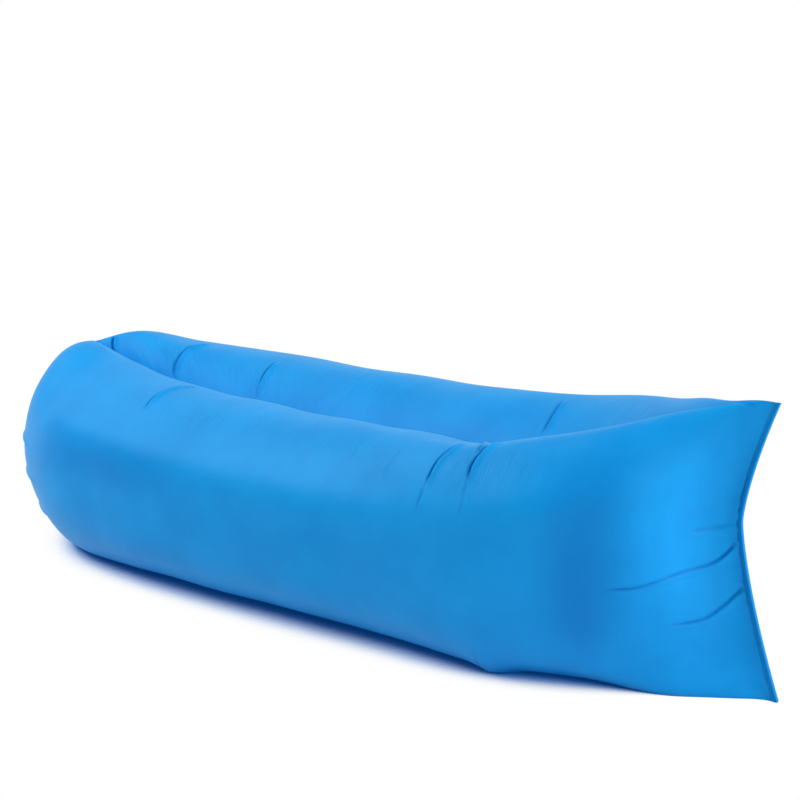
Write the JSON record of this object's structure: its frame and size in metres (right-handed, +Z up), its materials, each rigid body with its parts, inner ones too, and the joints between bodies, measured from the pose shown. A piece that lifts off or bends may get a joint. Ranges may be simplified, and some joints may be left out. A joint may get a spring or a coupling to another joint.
{
  "type": "inflatable air lounger",
  "caption": "Inflatable lounger of paired long fabric air chambers, sewn to a tall flat seam at one end and closed at the other by a rolled mouth with webbing and a side-release buckle.",
  "frame": {"origin": "floor level, in the middle of the bounding box", "axes": "+X along the chambers, from the rolled mouth to the sewn end seam; +Y across the chambers; +Z up"},
  "size_m": [2.2485, 0.87, 0.6495],
  "materials": {
    "blue_cloth": "thin coated ripstop nylon with a soft sheen",
    "liner_film": "thin clear to milky plastic film",
    "black_webbing": "woven polyester webbing",
    "black_plastic": "moulded plastic, fine satin grain",
    "grey_plastic": "flexible plastic strip"
  },
  "bodies": {
    "lounger": {"near_chamber_shell": "blue_cloth", "far_chamber_shell": "blue_cloth", "near_air_liner": "liner_film", "far_air_liner": "liner_film", "centre_seam_tape": "blue_cloth", "end_seam_binding": "blue_cloth", "mouth_roll": "blue_cloth", "mouth_batten": "grey_plastic", "socket_strap": "black_webbing", "plug_strap": "black_webbing", "buckle_socket": "black_plastic"},
    "plug": {"buckle_plug": "black_plastic"},
    "arm_near": {"buckle_arm_near": "black_plastic"},
    "arm_far": {"buckle_arm_far": "black_plastic"}
  },
  "joints": [
    {"name": "buckle_release", "type": "slide", "parent": "lounger", "child": "plug", "axis": [0, 0, 1], "range_m": [0, 0.026], "deforming": ["plug_strap", "buckle_arm_near", "buckle_arm_far"]},
    {"name": "near_arm_squeeze", "type": "hinge", "parent": "plug", "child": "arm_near", "pos_m": [-1.11967, -0.011, 0.26085], "axis": [1, 0, 0], "range_deg": [0, 10], "stiffness_Nm_per_rad": 0.02},
    {"name": "far_arm_squeeze", "type": "hinge", "parent": "plug", "child": "arm_far", "pos_m": [-1.11967, 0.011, 0.26085], "axis": [-1, 0, 0], "range_deg": [0, 10], "stiffness_Nm_per_rad": 0.02}
  ]
}
